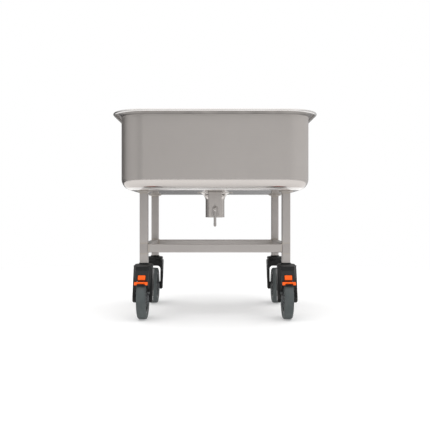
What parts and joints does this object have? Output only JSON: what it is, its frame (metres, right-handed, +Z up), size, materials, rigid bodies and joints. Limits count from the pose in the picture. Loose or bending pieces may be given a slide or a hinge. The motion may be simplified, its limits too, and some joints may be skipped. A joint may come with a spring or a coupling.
{
  "type": "bulk milk tank",
  "caption": "Open rectangular stainless milk tank on a square-tube frame with swivel casters, braked in front, and a lever-operated bottom outlet.",
  "frame": {"origin": "on the floor under the middle of the tub", "axes": "+X to the right and +Z up as seen from the lever's side; the outlet lever and the braked casters are at -Y"},
  "size_m": [0.7498, 0.6348, 0.75],
  "materials": {
    "tub_steel": "satin stainless sheet, polished floor radius and rim",
    "frame_steel": "ground stainless tube and plate",
    "valve_steel": "polished stainless",
    "zinc_steel": "bright zinc plated",
    "black_plastic": "fine-grained moulded polyamide",
    "orange_plastic": "smooth moulded",
    "wheel_centre": "moulded polypropylene",
    "bush": "plain bearing polymer",
    "tyre": "grey thermoplastic rubber",
    "seat_rubber": "moulded food-grade rubber"
  },
  "bodies": {
    "tank": {"caster_fl_kingpin": "zinc_steel", "caster_fl_plug": "black_plastic", "caster_fl_race": "zinc_steel", "caster_fr_kingpin": "zinc_steel", "caster_fr_plug": "black_plastic", "caster_fr_race": "zinc_steel", "caster_rl_kingpin": "zinc_steel", "caster_rl_plug": "black_plastic", "caster_rl_race": "zinc_steel", "caster_rr_kingpin": "zinc_steel", "caster_rr_plug": "black_plastic", "caster_rr_race": "zinc_steel", "leg_fl": "frame_steel", "leg_fr": "frame_steel", "leg_rl": "frame_steel", "leg_rr": "frame_steel", "lever_bracket": "frame_steel", "outlet_neck": "tub_steel", "quadrant_plate": "frame_steel", "rail_front": "frame_steel", "rail_left": "frame_steel", "rail_rear": "frame_steel", "rail_right": "frame_steel", "stem_bush": "bush", "tub_shell": "tub_steel", "valve_seat": "seat_rubber"},
    "valve": {"valve_disc": "valve_steel", "valve_stem": "valve_steel", "lever": "valve_steel", "lever_nut": "valve_steel"},
    "caster_fl_swivel": {"caster_fl_fork": "black_plastic", "caster_fl_axle": "zinc_steel", "caster_fl_cover": "black_plastic"},
    "caster_fl_wheel": {"caster_fl_tyre": "tyre", "caster_fl_rim": "wheel_centre", "caster_fl_bush": "bush"},
    "caster_fl_brake": {"caster_fl_brake_lever": "black_plastic", "caster_fl_pedal": "orange_plastic"},
    "caster_fl_release": {"caster_fl_button": "orange_plastic"},
    "caster_fr_swivel": {"caster_fr_fork": "black_plastic", "caster_fr_axle": "zinc_steel", "caster_fr_cover": "black_plastic"},
    "caster_fr_wheel": {"caster_fr_tyre": "tyre", "caster_fr_rim": "wheel_centre", "caster_fr_bush": "bush"},
    "caster_fr_brake": {"caster_fr_brake_lever": "black_plastic", "caster_fr_pedal": "orange_plastic"},
    "caster_fr_release": {"caster_fr_button": "orange_plastic"},
    "caster_rl_swivel": {"caster_rl_fork": "black_plastic", "caster_rl_axle": "zinc_steel"},
    "caster_rl_wheel": {"caster_rl_tyre": "tyre", "caster_rl_rim": "wheel_centre", "caster_rl_bush": "bush"},
    "caster_rr_swivel": {"caster_rr_fork": "black_plastic", "caster_rr_axle": "zinc_steel"},
    "caster_rr_wheel": {"caster_rr_tyre": "tyre", "caster_rr_rim": "wheel_centre", "caster_rr_bush": "bush"}
  },
  "joints": [
    {"name": "valve_turn", "type": "hinge", "parent": "tank", "child": "valve", "pos_m": [0, 0, 0.4017], "axis": [0, 1, 0], "range_deg": [0, 90]},
    {"name": "caster_fl_turn", "type": "hinge", "parent": "tank", "child": "caster_fl_swivel", "pos_m": [-0.2615, -0.204, 0.18], "axis": [0, 0, 1], "continuous": true},
    {"name": "caster_fl_roll", "type": "hinge", "parent": "caster_fl_swivel", "child": "caster_fl_wheel", "pos_m": [-0.2615, -0.242, 0.075], "axis": [1, 0, 0], "continuous": true},
    {"name": "caster_fl_brake", "type": "hinge", "parent": "caster_fl_swivel", "child": "caster_fl_brake", "pos_m": [-0.2615, -0.24, 0.102], "axis": [1, 0, 0], "range_deg": [0, 8]},
    {"name": "caster_fl_release", "type": "slide", "parent": "caster_fl_swivel", "child": "caster_fl_release", "axis": [0, -0.8367, 0.5477], "range_m": [0, 0.0021]},
    {"name": "caster_fr_turn", "type": "hinge", "parent": "tank", "child": "caster_fr_swivel", "pos_m": [0.2615, -0.204, 0.18], "axis": [0, 0, 1], "continuous": true},
    {"name": "caster_fr_roll", "type": "hinge", "parent": "caster_fr_swivel", "child": "caster_fr_wheel", "pos_m": [0.2615, -0.242, 0.075], "axis": [1, 0, 0], "continuous": true},
    {"name": "caster_fr_brake", "type": "hinge", "parent": "caster_fr_swivel", "child": "caster_fr_brake", "pos_m": [0.2615, -0.24, 0.102], "axis": [1, 0, 0], "range_deg": [0, 8]},
    {"name": "caster_fr_release", "type": "slide", "parent": "caster_fr_swivel", "child": "caster_fr_release", "axis": [0, -0.8367, 0.5477], "range_m": [0, 0.0021]},
    {"name": "caster_rl_turn", "type": "hinge", "parent": "tank", "child": "caster_rl_swivel", "pos_m": [-0.2615, 0.204, 0.18], "axis": [0, 0, 1], "continuous": true},
    {"name": "caster_rl_roll", "type": "hinge", "parent": "caster_rl_swivel", "child": "caster_rl_wheel", "pos_m": [-0.2615, 0.166, 0.075], "axis": [1, 0, 0], "continuous": true},
    {"name": "caster_rr_turn", "type": "hinge", "parent": "tank", "child": "caster_rr_swivel", "pos_m": [0.2615, 0.204, 0.18], "axis": [0, 0, 1], "continuous": true},
    {"name": "caster_rr_roll", "type": "hinge", "parent": "caster_rr_swivel", "child": "caster_rr_wheel", "pos_m": [0.2615, 0.166, 0.075], "axis": [1, 0, 0], "continuous": true}
  ],
  "couplings": [
    {"joint": "caster_fl_release", "follows": "caster_fl_brake", "m_per_rad": 0.014324},
    {"joint": "caster_fr_release", "follows": "caster_fr_brake", "m_per_rad": 0.014324}
  ]
}
